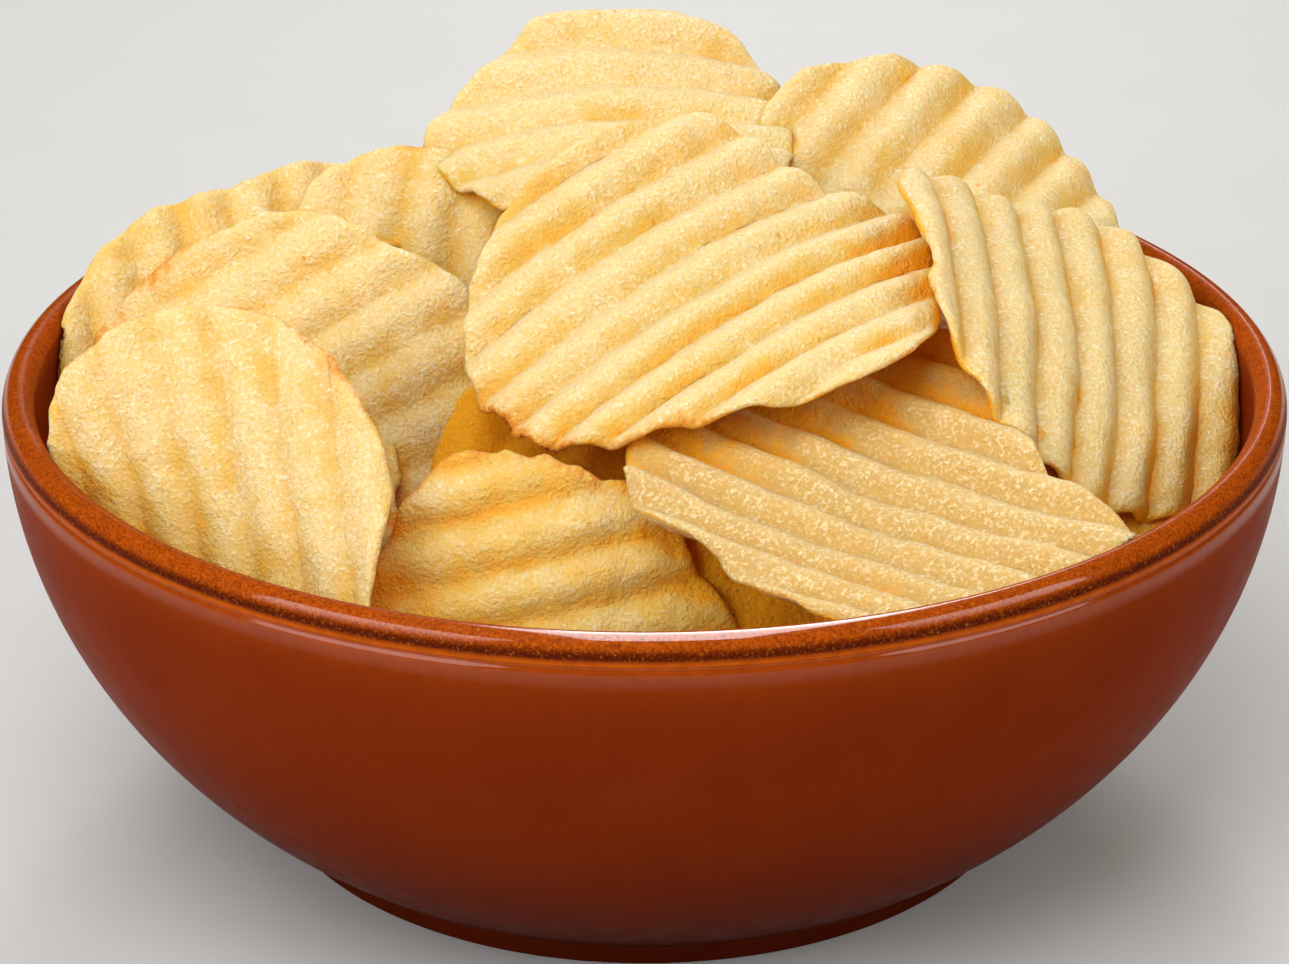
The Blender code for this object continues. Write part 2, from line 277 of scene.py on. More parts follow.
def turned_points(turns, radii, heights):
    """A line of points at some radii and heights, repeated at each turn about the axis."""
    return np.stack([np.outer(np.cos(turns), radii), np.outer(np.sin(turns), radii),
                     np.tile(heights, (len(turns), 1))], axis=-1)


def full_turn(steps):
    """Angles all the way round, without the last, which is the first again."""
    return np.linspace(0, 2 * math.pi, steps, endpoint=False)


def close_axis(obj):
    """Welds the points that lie together on the axis."""
    shape = bmesh.new()
    shape.from_mesh(obj.data)
    bmesh.ops.remove_doubles(shape, verts=shape.verts, dist=1e-7)
    bmesh.ops.recalc_face_normals(shape, faces=shape.faces)
    shape.to_mesh(obj.data)
    shape.free()
    obj.data.shade_smooth()


def onward(start, end, count):
    """`count` even steps from `start` to `end`, without `start` itself."""
    return np.linspace(start, end, count + 1)[1:]


def smoothstep(low, high, x):
    """0 at `low` and 1 at `high`, which may be the smaller."""
    t = np.clip((x - low) / (high - low), 0.0, 1.0)
    return t * t * (3.0 - 2.0 * t)


def noise(x, y, seed):
    """Smooth noise from -1 to 1, with features about one unit wide."""
    size = 64
    table = np.random.default_rng(seed).uniform(-1.0, 1.0, (size, size))
    x0 = np.floor(x).astype(int)
    y0 = np.floor(y).astype(int)
    sx = smoothstep(0.0, 1.0, x - x0)
    sy = smoothstep(0.0, 1.0, y - y0)
    left, right, near, far = x0 % size, (x0 + 1) % size, y0 % size, (y0 + 1) % size
    near_value = table[left, near] * (1 - sx) + table[right, near] * sx
    far_value = table[left, far] * (1 - sx) + table[right, far] * sx
    return near_value * (1 - sy) + far_value * sy


# ---------------------------------------------------------------- the bowl's shape

def body_radius(height):
    """The outer radius of the bowl's elliptical side."""
    return RIM_RADIUS * np.sqrt(1.0 - ((WIDEST_HEIGHT - height) / BODY_DROP) ** 2)


def wall_radius(height):
    """The radius that the inside leaves free at a height: the wall, then the lip, then open air."""
    side = body_radius(np.clip(height, FLOOR_HEIGHT, WIDEST_HEIGHT)) - WALL
    lip = (LIP_WIDTH * (1 - LIP_CROWN)) * smoothstep(CREASE_HEIGHT, RIM_HEIGHT, height)
    return side + lip + RIM_FLARE * np.maximum(height - RIM_HEIGHT, 0.0)


def bowl_profile():
    """(radius, height) from the middle of the inside, over the lip, to the middle of the foot."""
    # The floor, then the inner side, in steps that grow with the height.
    heights = FLOOR_HEIGHT + (CREASE_HEIGHT - FLOOR_HEIGHT) * np.linspace(0, 1, 40) ** 1.6
    edge = body_radius(FLOOR_HEIGHT) - WALL
    points = [(edge * share, FLOOR_HEIGHT) for share in np.linspace(0, 0.96, 16)]
    points += [(float(body_radius(min(z, WIDEST_HEIGHT))) - WALL, z) for z in heights]

    # The lip, which rises from the crease to its crown and rolls over to the widest place.
    inner = RIM_RADIUS - WALL
    for turn in onward(0, math.pi, 28):
        if turn < math.pi / 2:
            width, drop = CROWN_RADIUS - inner, LIP_DROP
        else:
            width, drop = RIM_RADIUS - CROWN_RADIUS, RIM_HEIGHT - WIDEST_HEIGHT
        points.append((CROWN_RADIUS - width * math.cos(turn),
                       RIM_HEIGHT - drop * (1 - math.sin(turn))))

    # The groove, then the side in steps that shrink towards the foot.
    for z in onward(WIDEST_HEIGHT, GROOVE_HEIGHT - 1.6 * GROOVE_WIDTH, 15):
        dip = math.exp(-(((z - GROOVE_HEIGHT) / (0.45 * GROOVE_WIDTH)) ** 2))
        points.append((float(body_radius(z)) - GROOVE_DEPTH * dip, z))
    top = points[-1][1]
    for share in onward(1, 0, 63):
        z = FOOT_HEIGHT + (top - FOOT_HEIGHT) * share**1.4
        points.append((float(body_radius(z)), z))

    # The foot ring, with a rounded edge, and the recess inside it.
    inside = FOOT_RADIUS - FOOT_RING_WIDTH
    points.append((FOOT_RADIUS, FOOT_HEIGHT - FOOT_EDGE))
    points += [(FOOT_RADIUS, z) for z in onward(FOOT_HEIGHT - FOOT_EDGE, FOOT_EDGE, 4)]
    for turn in onward(0, math.pi / 2, 4):
        points.append((FOOT_RADIUS - FOOT_EDGE * (1 - math.cos(turn)),
                       FOOT_EDGE * (1 - math.sin(turn))))
    points += [(r, 0.0) for r in onward(FOOT_RADIUS - FOOT_EDGE, inside, 5)]
    for share in onward(0, 1, 5):
        points.append((inside - FOOT_RECESS_SLOPE * share, FOOT_RECESS * smoothstep(0, 1, share)))
    points += [(r, FOOT_RECESS) for r in onward(inside - FOOT_RECESS_SLOPE, 0, 11)]
    return np.array(points)


def turned_mesh(name, profile, steps, values, finish):
    """A profile whose ends lie on the axis, turned about it. `values` are per profile point."""
    points = turned_points(full_turn(steps), profile[:, 0], profile[:, 1])
    quads = ring_quads(steps, len(profile))
    per_point = {key: np.tile(value, steps) for key, value in values.items()}
    obj = quad_mesh(name, points.reshape(-1, 3), quads, per_point, finish)
    close_axis(obj)
    return obj


# ---------------------------------------------------------------- a crisp's shape

def outline_radius(outline, turn):
    """The smooth closed curve through the outline's radii, at angles in radians."""
    radii = np.asarray(outline, float)
    place = np.mod(turn / (2 * math.pi), 1.0) * len(radii)
    i = np.floor(place).astype(int)
    f = place - i
    before, a, b, after = (radii[(i + k) % len(radii)] for k in (-1, 0, 1, 2))
    slope_a = (b - before) / 2
    slope_b = (after - a) / 2
    return (a * (2 * f**3 - 3 * f**2 + 1) + slope_a * (f**3 - 2 * f**2 + f)
            + b * (3 * f**2 - 2 * f**3) + slope_b * (f**3 - f**2))


def crisp_axes(crisp):
    """Unit vectors across the ridges, along them, and out of the crisp's upper side."""
    facing, tilt, ridges = (math.radians(a) for a in (crisp.facing, crisp.tilt, crisp.ridges))
    normal = np.array([math.sin(tilt) * math.sin(facing), -math.sin(tilt) * math.cos(facing),
                       math.cos(tilt)])
    level = np.array([math.cos(facing), math.sin(facing), 0.0])
    upslope = np.cross(normal, level)
    along = math.cos(ridges) * level + math.sin(ridges) * upslope
    across = math.cos(ridges) * upslope - math.sin(ridges) * level
    return across, along, normal


def disc_grid(across_count, along_count):
    """A square grid pressed into a unit disc, closer near its rim, as (across, along)."""
    crowding = 1.25

    def spread(count):
        s = np.linspace(-1, 1, count)
        return np.sign(s) * (1 - (1 - np.abs(s)) ** crowding)

    s, t = np.meshgrid(spread(across_count), spread(along_count), indexing="ij")
    return s * np.sqrt(1 - t * t / 2), t * np.sqrt(1 - s * s / 2)


def window(turn, direction, spread):
    """1 in a direction, falling to 0 at `spread` degrees to each side."""
    off = np.abs(np.mod(np.degrees(turn) - direction + 180, 360) - 180)
    return smoothstep(spread, 0, off)


def face_noise(kind, u, v, seed):
    """One kind of noise over a crisp's face."""
    return kind.amount * noise(u / kind.across + kind.shift, v / kind.along + kind.shift,
                               seed + kind.seed)


def edge_noise(kind, turn, seed):
    """One kind of noise round a crisp, which meets itself after a turn."""
    return kind.amount * noise(np.cos(turn) * kind.fineness + kind.shift,
                               np.sin(turn) * kind.fineness + kind.shift, seed + kind.seed)


def blisters(u, v, rng, reach):
    """Shallow bubbles of many sizes, as a height."""
    height = np.zeros_like(u)
    for _ in range(BLISTER_COUNT):
        cu, cv = rng.uniform(-reach, reach, 2)
        radius = rng.uniform(*BLISTER_RADII)
        rise = rng.uniform(*BLISTER_RISES) * radius
        d = ((u - cu) ** 2 + (v - cv) ** 2) / radius**2
        height += rise * np.clip(1 - d, 0, 1) ** 2
    return height


def crumples(u, v, side, seed):
    """The fine unevenness of one side of a crisp, as a height."""
    shift = 3 * side
    coarse = 0.13 * noise(u / 1.7 + shift, v / 2.0, seed + 7 + side)
    fine = 0.09 * noise(u / 0.9 + shift + 21, v / 1.1, seed + 21 + side)
    return coarse + fine


def keep_inside(points, gap):
    """Draws points back to the bowl's inside."""
    radius = np.maximum(np.hypot(points[..., 0], points[..., 1]), 1e-6)
    share = np.minimum(1.0, (wall_radius(points[..., 2]) - gap) / radius)
    drawn = points.copy()
    drawn[..., 0] *= share
    drawn[..., 1] *= share
    drawn[..., 2] = np.maximum(drawn[..., 2], FLOOR_HEIGHT + gap)
    return drawn


def grid_normals(points, fallback):
    """Unit normals of a grid of points, towards the same side as `fallback`."""
    first = np.gradient(points, axis=0)
    second = np.gradient(points, axis=1)
    normals = np.cross(first, second)
    length = np.linalg.norm(normals, axis=-1, keepdims=True)
    normals = np.where(length > 1e-9, normals / np.maximum(length, 1e-9), fallback)
    flip = np.sign((normals * fallback).sum(-1, keepdims=True))
    return normals * np.where(flip == 0, 1, flip)


# A crisp's grid laid flat: `u` across the ridges and `v` along them, the direction of each point
# from the middle, counted from across the ridges (`turn`) and from level (`level_turn`), and how
# far it lies inside the edge.
Sheet = namedtuple("Sheet", "u v turn level_turn to_edge")


def flat_sheet(crisp, look, seed, grid):
    """A crisp's grid with its ragged outline."""
    x, y = disc_grid(*grid)
    ridges = math.radians(crisp.ridges)
    rho = np.hypot(x, y)
    turn = np.arctan2(y, x)
    level_turn = np.arctan2(y * math.sin(ridges) + x * math.cos(ridges),
                            y * math.cos(ridges) - x * math.sin(ridges))
    rag = edge_noise(RAG_NOISE, turn, seed) + edge_noise(FINE_RAG_NOISE, turn, seed)
    for direction, spread, depth in look.ragged:
        torn = edge_noise(TEAR_NOISE, turn, seed) + edge_noise(FINE_TEAR_NOISE, turn, seed)
        rag = rag + depth * window(level_turn, direction, spread) * torn
    reach = outline_radius(crisp.outline, level_turn) + rag * smoothstep(RAG_START, 1.0, rho)
    return Sheet(rho * reach * np.cos(turn), rho * reach * np.sin(turn), turn, level_turn,
                 (1 - rho) * reach)


def ridge_phase(crisp, sheet, seed):
    """Where each point lies between the ridges, as an angle: 0 in a valley, pi on a crest."""
    wander = (face_noise(WANDER_NOISE, sheet.v, sheet.u, seed)
              + face_noise(WOBBLE_NOISE, sheet.v, sheet.u, seed))
    return 2 * math.pi * (sheet.u - crisp.shift + wander) / crisp.pitch


def sheet_height(crisp, look, sheet, phase, seed):
    """How far a crisp's sheet lies out of its plane: its ridges, bends, waves and curled edge."""
    u, v = sheet.u, sheet.v
    crest = 0.5 - 0.5 * np.cos(phase)
    uneven = 1 + face_noise(RIDGE_NOISE, u, v, seed)
    ridge = look.relief * (2 * crest**look.crest - 1) * uneven
    bend_across, bend_along, twist = (b * MM for b in crisp.bends)
    height = bend_across * u**2 / 2 + bend_along * v**2 / 2 + twist * u * v + ridge
    height += face_noise(WAVE_NOISE, u, v, seed) + face_noise(DENT_NOISE, u, v, seed)
    at_edge = 1 - smoothstep(0.0, CURL_WIDTH, sheet.to_edge)
    for direction, spread, depth in look.curl:
        height -= depth * window(sheet.level_turn, direction, spread) * at_edge
    return height


def sheet_values(look, sheet, phase, seed):
    """How golden, dull and brown each point of a crisp is."""
    u, v, to_edge = sheet.u, sheet.v, sheet.to_edge
    spots = np.clip(face_noise(SPOT_NOISE, u, v, seed) - 0.45, 0, 1)
    tone = (face_noise(CLOUD_NOISE, u, v, seed) + face_noise(MOTTLE_NOISE, u, v, seed)
            + 0.4 * spots)
    # Golden valleys, moved up the shaded flank: partly the crisp's colour, partly painted shade.
    valley = (0.5 + 0.5 * np.cos(phase - 2 * math.pi * look.lean)) ** 1.6
    gold_and_glow = look.amber + look.valley * valley * (1 + face_noise(VALLEY_NOISE, u, v, seed)) + tone
    dull = look.dull * (0.3 + 0.7 * valley * (1 + face_noise(DULL_NOISE, u, v, seed)))

    thin_edge = np.exp(-to_edge / BROWN_WIDTH)
    brown = thin_edge * np.clip(0.04 + edge_noise(BROWN_NOISE, sheet.turn, seed), 0, 1)
    dark, faded = (np.exp(-to_edge / width) for width in TOAST_WIDTHS)
    wide_edge = 0.6 * dark + 0.4 * faded
    patch = 0.6 + face_noise(TOAST_NOISE, u, v, seed)
    for direction, spread, strength in look.toast:
        toast = strength * window(sheet.level_turn, direction, spread)
        brown = brown + toast * patch * wide_edge
    return {"gold_and_glow": gold_and_glow, "dull": np.clip(dull, 0, 1), "brown": np.clip(brown, 0, 1)}


def crisp_arrays(crisp, look, seed, grid):
    """A crisp's upper and lower side, as grids of points that share a border, and its values."""
    rng = np.random.default_rng(seed)
    sheet = flat_sheet(crisp, look, seed, grid)
    u, v = sheet.u, sheet.v
    phase = ridge_phase(crisp, sheet, seed)
    height = sheet_height(crisp, look, sheet, phase, seed)
    across, along, normal = crisp_axes(crisp)
    middle = (np.asarray(crisp.at, float) + u[..., None] * across + v[..., None] * along
              + height[..., None] * normal)
    middle = keep_inside(middle, WALL_GAP + CRISP_THICKNESS / 2)
    normals = grid_normals(middle, normal)

    rounding = np.clip(sheet.to_edge / EDGE_ROUNDING, 0, 1)
    half = CRISP_THICKNESS / 2 * np.sqrt(np.clip(1 - (1 - rounding) ** 2, 0, 1))
    half = half * (1 + face_noise(THICKNESS_NOISE, u, v, seed))
    inland = smoothstep(0.0, EDGE_SMOOTHING, sheet.to_edge)
    sides = []
    for side, outward in enumerate((normals, -normals)):
        bumps = blisters(u, v, rng, max(crisp.outline)) + crumples(u, v, side, seed)
        points = middle + outward * (half + bumps * inland)[..., None]
        sides.append(keep_inside(points, WALL_GAP))
    return sides, sheet_values(look, sheet, phase, seed)


def sheet_arrays(upper, lower, values, low_values):
    """Closes two grids that share their border into one skin. The lower may have its own values."""
    rows, columns = upper.shape[:2]
    top_index = np.arange(rows * columns).reshape(rows, columns)
    border = np.zeros((rows, columns), bool)
    border[0] = border[-1] = border[:, 0] = border[:, -1] = True
    low_index = top_index.copy()
    low_index[~border] = rows * columns + np.arange((~border).sum())
    points = np.concatenate([upper.reshape(-1, 3), lower[~border]])
    quads = np.concatenate([grid_quads(top_index), grid_quads(low_index)[:, ::-1]])
    merged = {key: np.concatenate([value.ravel(), low_values.get(key, value)[~border]])
              for key, value in values.items()}
    return points, quads, merged


# ---------------------------------------------------------------- where the crisps hide each other

def cover_tree(grids):
    """A search tree of the faces of some grids of points, in millimetres."""
    points, quads, first = [], [], 0
    for grid in grids:
        rows, columns = grid.shape[:2]
        index = first + np.arange(rows * columns).reshape(rows, columns)
        quads += grid_quads(index).tolist()
        points += grid.reshape(-1, 3).tolist()
        first += rows * columns
    return BVHTree.FromPolygons(points, quads)


def rays_about_z():
    """Unit vectors over the +Z half of a sphere, denser about its axis."""
    rows = np.arange(SHADE_RAYS) + 0.5
    level = np.sqrt(rows / SHADE_RAYS)
    turn = rows * math.pi * (3.0 - math.sqrt(5.0))
    rays = zip(level * np.cos(turn), level * np.sin(turn), np.sqrt(1 - level**2))
    return [Vector(ray) for ray in rays]


def hidden_share(tree, grid, outward):
    """How much of the space in front of each grid point something near hides, from 0 to 1."""
    normals = grid_normals(grid, outward)
    rows, columns = (np.unique(np.linspace(0, count - 1, count // SHADE_STEP).astype(int))
                     for count in grid.shape[:2])
    rays = rays_about_z()
    coarse = np.zeros((len(rows), len(columns)))
    for i, row in enumerate(rows):
        for j, column in enumerate(columns):
            normal = Vector(normals[row, column])
            turn = normal.to_track_quat("Z", "Y")
            start = Vector(grid[row, column]) + normal * SHADE_LIFT
            hits = (tree.ray_cast(start, turn @ ray, SHADE_REACH)[0] for ray in rays)
            coarse[i, j] = sum(hit is not None for hit in hits)
    all_rows, all_columns = (np.arange(count) for count in grid.shape[:2])
    tall = np.stack([np.interp(all_rows, rows, line) for line in coarse.T], axis=1)
    return np.stack([np.interp(all_columns, columns, line) for line in tall]) / SHADE_RAYS


def wall_grid():
    """The bowl's inside as a grid, as far as it hides crisps."""
    turns = np.linspace(0, 2 * math.pi, 49)
    heights = np.append(np.linspace(FLOOR_HEIGHT, CREASE_HEIGHT, 12), RIM_HEIGHT)
    radii = wall_radius(heights)
    radii[-1] = CROWN_RADIUS
    return turned_points(turns, radii, heights)


# ---------------------------------------------------------------- materials

class Graph:
    """A material's node tree, built by short calls."""

    def __init__(self, name):
        self.material = bpy.data.materials.new(name)
        self.material.use_nodes = True
        self.nodes = self.material.node_tree.nodes
        self.links = self.material.node_tree.links
        self.shader = self.nodes["Principled BSDF"]
        self.place = self.node("ShaderNodeTexCoord").outputs["Object"]

    def node(self, kind, **settings):
        made = self.nodes.new(kind)
        for key, value in settings.items():
            setattr(made, key, value)
        return made

    def feed(self, socket, source):
        """Links another socket to this one, or sets it to a value."""
        if isinstance(source, bpy.types.NodeSocket):
            self.links.new(source, socket)
        else:
            socket.default_value = source

    def value(self, name):
        """A value that the mesh holds at each point."""
        return self.node("ShaderNodeAttribute", attribute_name=name).outputs["Fac"]

    def noise(self, size, detail=2.0, roughness=0.55):
        """Noise with features of about `size` millimetres, from 0 to 1."""
        made = self.node("ShaderNodeTexNoise")
        self.feed(made.inputs["Vector"], self.place)
        made.inputs["Scale"].default_value = 1 / (size * MM)
        made.inputs["Detail"].default_value = detail
        made.inputs["Roughness"].default_value = roughness
        return made.outputs["Fac"]

    def dots(self, spacing):
        """The distance to scattered points, in units of their spacing."""
        made = self.node("ShaderNodeTexVoronoi")
        self.feed(made.inputs["Vector"], self.place)
        made.inputs["Scale"].default_value = 1 / (spacing * MM)
        return made.outputs["Distance"], made.outputs["Color"]

    def ramp(self, source, low, high, to_low=0.0, to_high=1.0):
        """`to_low` up to `low`, `to_high` from `high` on, and smooth between them."""
        made = self.node("ShaderNodeMapRange", interpolation_type="SMOOTHSTEP")
        self.feed(made.inputs["Value"], source)
        ends = {"From Min": low, "From Max": high, "To Min": to_low, "To Max": to_high}
        for key, value in ends.items():
            made.inputs[key].default_value = value
        return made.outputs["Result"]

    def math(self, operation, a, b):
        made = self.node("ShaderNodeMath", operation=operation)
        self.feed(made.inputs[0], a)
        self.feed(made.inputs[1], b)
        return made.outputs["Value"]

    def mix(self, share, a, b):
        """From colour `a` at a share of 0 to `b` at 1."""
        made = self.node("ShaderNodeMix", data_type="RGBA")
        self.feed(made.inputs["Factor"], share)
        for key, colour in (("A", a), ("B", b)):
            socket = next(s for s in made.inputs if s.name == key and s.type == "RGBA")
            is_socket = isinstance(colour, bpy.types.NodeSocket)
            self.feed(socket, colour if is_socket else (*colour, 1.0))
        return next(s for s in made.outputs if s.type == "RGBA")

    def bump(self, height, distance, strength, normal=None):
        """A normal that follows a height of up to `distance` millimetres, over another normal."""
        made = self.node("ShaderNodeBump")
        self.feed(made.inputs["Height"], height)
        made.inputs["Distance"].default_value = distance * MM
        made.inputs["Strength"].default_value = strength
        if normal is not None:
            self.feed(made.inputs["Normal"], normal)
        return made.outputs["Normal"]


# From the crests of a well-lit crisp to its browned edge. The golden colour is partly painted
# shade, the deep orange is painted glow in shade, and the lightest is partly painted glints.
CREAM = (0.90, 0.675, 0.33)
BLISTER_AND_GLINT = (1.0, 0.87, 0.62)
DULL = (0.60, 0.375, 0.12)
GOLDEN = (0.84, 0.52, 0.10)
AMBER_GLOW = (0.98, 0.40, 0.004)
SINGED = (0.80, 0.32, 0.03)
TOASTED = (0.36, 0.10, 0.008)
CRISP_SHINE = 0.26
DEEP_CRISP_SHINE = 0.08


def crisp_material(name, specular):
    g = Graph(name)
    grain = g.noise(0.5, 3.0, 0.6)
    patches = g.noise(2.6, 3.0, 0.55)

    # Cream to golden to deep orange: in the valleys, in patches, and, as painted shade and glow,
    # where other crisps are near.
    gold_and_glow = g.math("ADD", g.value("gold_and_glow"), g.ramp(patches, 0.3, 0.7, -0.14, 0.14))
    gold_and_glow = g.math("ADD", gold_and_glow, g.ramp(g.value("shade"), 0.2, 0.95))
    colour = g.mix(g.ramp(gold_and_glow, 0.0, 0.75), CREAM, GOLDEN)
    dull = g.math("MULTIPLY", g.value("dull"), g.ramp(grain, 0.35, 0.62, 1.1, 0.45))
    colour = g.mix(dull, colour, DULL)
    colour = g.mix(g.ramp(gold_and_glow, 0.62, 1.25), colour, AMBER_GLOW)

    # The grain of the fried surface: golden pits, and shiny blisters whose lighter colour is partly
    # painted glints, fewer where the crisp is golden or in painted shade.
    pits = g.ramp(grain, 0.5, 0.34)
    colour = g.mix(g.math("MULTIPLY", pits, 0.42), colour, GOLDEN)
    sparkle = g.ramp(grain, 0.54, 0.66)
    blister_and_glint = g.math("MULTIPLY", sparkle, g.ramp(gold_and_glow, 0.9, 0.2, 0.05, 0.75))
    blister_and_glint = g.math("MULTIPLY", blister_and_glint, g.ramp(dull, 0.0, 0.6, 1.0, 0.7))
    colour = g.mix(blister_and_glint, colour, BLISTER_AND_GLINT)

    # Browned edges, and a few brown specks.
    edge = g.math("MULTIPLY", g.value("brown"), g.ramp(g.noise(1.1, 3.0), 0.25, 0.7, 0.35, 1.5))
    colour = g.mix(g.ramp(edge, 0.03, 0.4), colour, SINGED)
    colour = g.mix(g.ramp(edge, 0.45, 1.0), colour, TOASTED)
    distance, which = g.dots(6.0)
    few = g.ramp(which, 0.55, 0.6)
    speck = g.math("MULTIPLY", g.ramp(distance, 0.07, 0.035), few)
    colour = g.mix(g.math("MULTIPLY", speck, 0.8), colour, SINGED)

    g.feed(g.shader.inputs["Base Color"], colour)
    g.feed(g.shader.inputs["Roughness"], g.ramp(sparkle, 0.0, 1.0, 0.6, 0.25))
    g.shader.inputs["Subsurface Weight"].default_value = 0.5
    g.shader.inputs["Subsurface Radius"].default_value = (1.0, 0.6, 0.2)
    g.shader.inputs["Subsurface Scale"].default_value = 2.8 * MM
    g.shader.inputs["Specular IOR Level"].default_value = specular
    normal = g.bump(g.noise(1.1, 3.0, 0.6), 0.5, 0.8)
    normal = g.bump(grain, 0.6, 1.0, normal)
    g.feed(g.shader.inputs["Normal"], normal)
    return g.material


GLAZE = (0.19, 0.0235, 0.003)
GLAZE_DEEP = (0.145, 0.014, 0.002)
GLAZE_THIN = (0.62, 0.115, 0.003)
GLAZE_SPECK_AND_SHADE = (0.040, 0.004, 0.001)
GLAZE_FLECK = (0.75, 0.26, 0.03)


def glaze_material():
    g = Graph("glaze")
    # Clouded red-brown, orange where the glaze runs thin, and near black as painted shade under the
    # lip's roll and towards the foot.
    mottle = g.ramp(g.noise(0.5, 3.0, 0.7), 0.3, 0.7)
    clouds = g.ramp(g.noise(12.0, 3.0), 0.3, 0.7)
    colour = g.mix(g.math("MULTIPLY", g.math("ADD", mottle, clouds), 0.3), GLAZE, GLAZE_DEEP)
    streaks = g.ramp(g.noise(1.6, 4.0, 0.65), 0.25, 0.7, 0.7, 1.15)
    colour = g.mix(g.math("MULTIPLY", g.value("thin"), streaks), colour, GLAZE_THIN)
    colour = g.mix(g.value("painted_shade"), colour, GLAZE_SPECK_AND_SHADE)

    # Dark and bright specks on the lip.
    dust = g.noise(0.36, 3.0, 0.7)
    dark = g.math("MULTIPLY", g.ramp(dust, 0.52, 0.36), g.value("specks"))
    colour = g.mix(g.math("MULTIPLY", dark, 0.5), colour, GLAZE_SPECK_AND_SHADE)
    flecks = g.math("MULTIPLY", g.ramp(dust, 0.54, 0.74), g.value("specks"))
    colour = g.mix(g.math("MULTIPLY", flecks, 0.35), colour, GLAZE_FLECK)

    # Nearly matt, under a clear coat where the glaze is glossy.
    g.feed(g.shader.inputs["Base Color"], colour)
    g.feed(g.shader.inputs["Roughness"], g.ramp(g.noise(4.0, 3.0), 0.3, 0.7, 0.30, 0.38))
    g.shader.inputs["Specular IOR Level"].default_value = 0.006
    g.feed(g.shader.inputs["Coat Weight"], g.value("gloss"))
    g.shader.inputs["Coat Roughness"].default_value = 0.08
    g.feed(g.shader.inputs["Normal"], g.bump(g.noise(2.5, 2.0), 0.03, 0.2))
    return g.material


FLOOR_LIGHT = (0.56, 0.57, 0.60)
FLOOR_DARK = (0.53, 0.54, 0.57)


def floor_material():
    g = Graph("floor")
    g.feed(g.shader.inputs["Base Color"], g.mix(g.noise(30.0), FLOOR_LIGHT, FLOOR_DARK))
    g.shader.inputs["Roughness"].default_value = 0.7
    return g.material


# ---------------------------------------------------------------- pieces

# Heights between which a look of the glaze comes in, on the outside of the bowl.
LIP_BOTTOM = (CREASE_HEIGHT - 0.3, CREASE_HEIGHT + 0.5)
ROLL_TOP = (58.5, 57.4)
ROLL_BOTTOM = (LINE_HEIGHT + 0.2, LINE_HEIGHT + 0.6)
CROWN_BOTTOM = (58.2, 58.7)
STRIP_TOP = (LINE_HEIGHT, LINE_HEIGHT - 0.4)
STRIP_BOTTOM = (53.8, 54.0)
COAT_BOTTOM = LINE_HEIGHT - 1.5
COAT_EDGE = (CROWN_RADIUS - 0.3, CROWN_RADIUS - 0.05)  # radii, on the lip's crown
# The outside takes painted shade from this height down to the foot.
FOOT_SHADE_TOP = 38.0
EDGE_SOFTNESS = 0.4  # of the line under the lip and of the foot's edge
LINE_FADE = 2.2


def glaze_values(profile):
    """The glaze's thinness, painted shade, specks and gloss at each point of the bowl's profile."""
    radius, height = profile[:, 0], profile[:, 1]
    outside = np.arange(len(profile)) > int(np.argmax(height))
    lip = smoothstep(*LIP_BOTTOM, height)
    roll = smoothstep(*ROLL_TOP, height) * smoothstep(*ROLL_BOTTOM, height) * outside
    line = np.exp(-(((height - LINE_HEIGHT) / EDGE_SOFTNESS) ** 2)) * outside
    below_line = np.maximum(LINE_HEIGHT - height, 0) * outside
    fade = np.exp(-below_line / LINE_FADE) * (height < LINE_HEIGHT) * outside
    foot = np.exp(-(((height - FOOT_HEIGHT) / EDGE_SOFTNESS) ** 2)) * outside
    # Painted shade: dark under the lip's roll, which faces down, and darker towards the foot.
    foot_shade = 0.8 * (1 - smoothstep(0.0, FOOT_SHADE_TOP, height)) * outside

    # The coat covers the outer side of the lip, most of all its crown, and a strip under the line.
    outward = smoothstep(*COAT_EDGE, radius) * (height > COAT_BOTTOM)
    strip = smoothstep(*STRIP_BOTTOM, height) * smoothstep(*STRIP_TOP, height) * outside
    crown = 0.05 + 0.95 * smoothstep(*CROWN_BOTTOM, height)
    return {
        "thin": np.clip(0.42 * lip * (1 - roll) + 0.8 * line + 0.38 * fade + 0.4 * foot, 0, 1),
        "painted_shade": np.clip(0.7 * roll + foot_shade, 0, 0.92),
        "specks": np.clip(lip + roll, 0, 1),
        "gloss": 0.8 * outward * crown + 0.6 * strip,
    }


def build_bowl(finish):
    profile = bowl_profile()
    piece = turned_mesh("bowl_glazed", profile, BOWL_STEPS, glaze_values(profile), finish)
    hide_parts("bowl")
    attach(piece, "root")


def finish_crisp(piece):
    """Hides the model's heap and puts a piece of it under the root body."""
    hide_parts("crisps")
    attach(piece, "root")


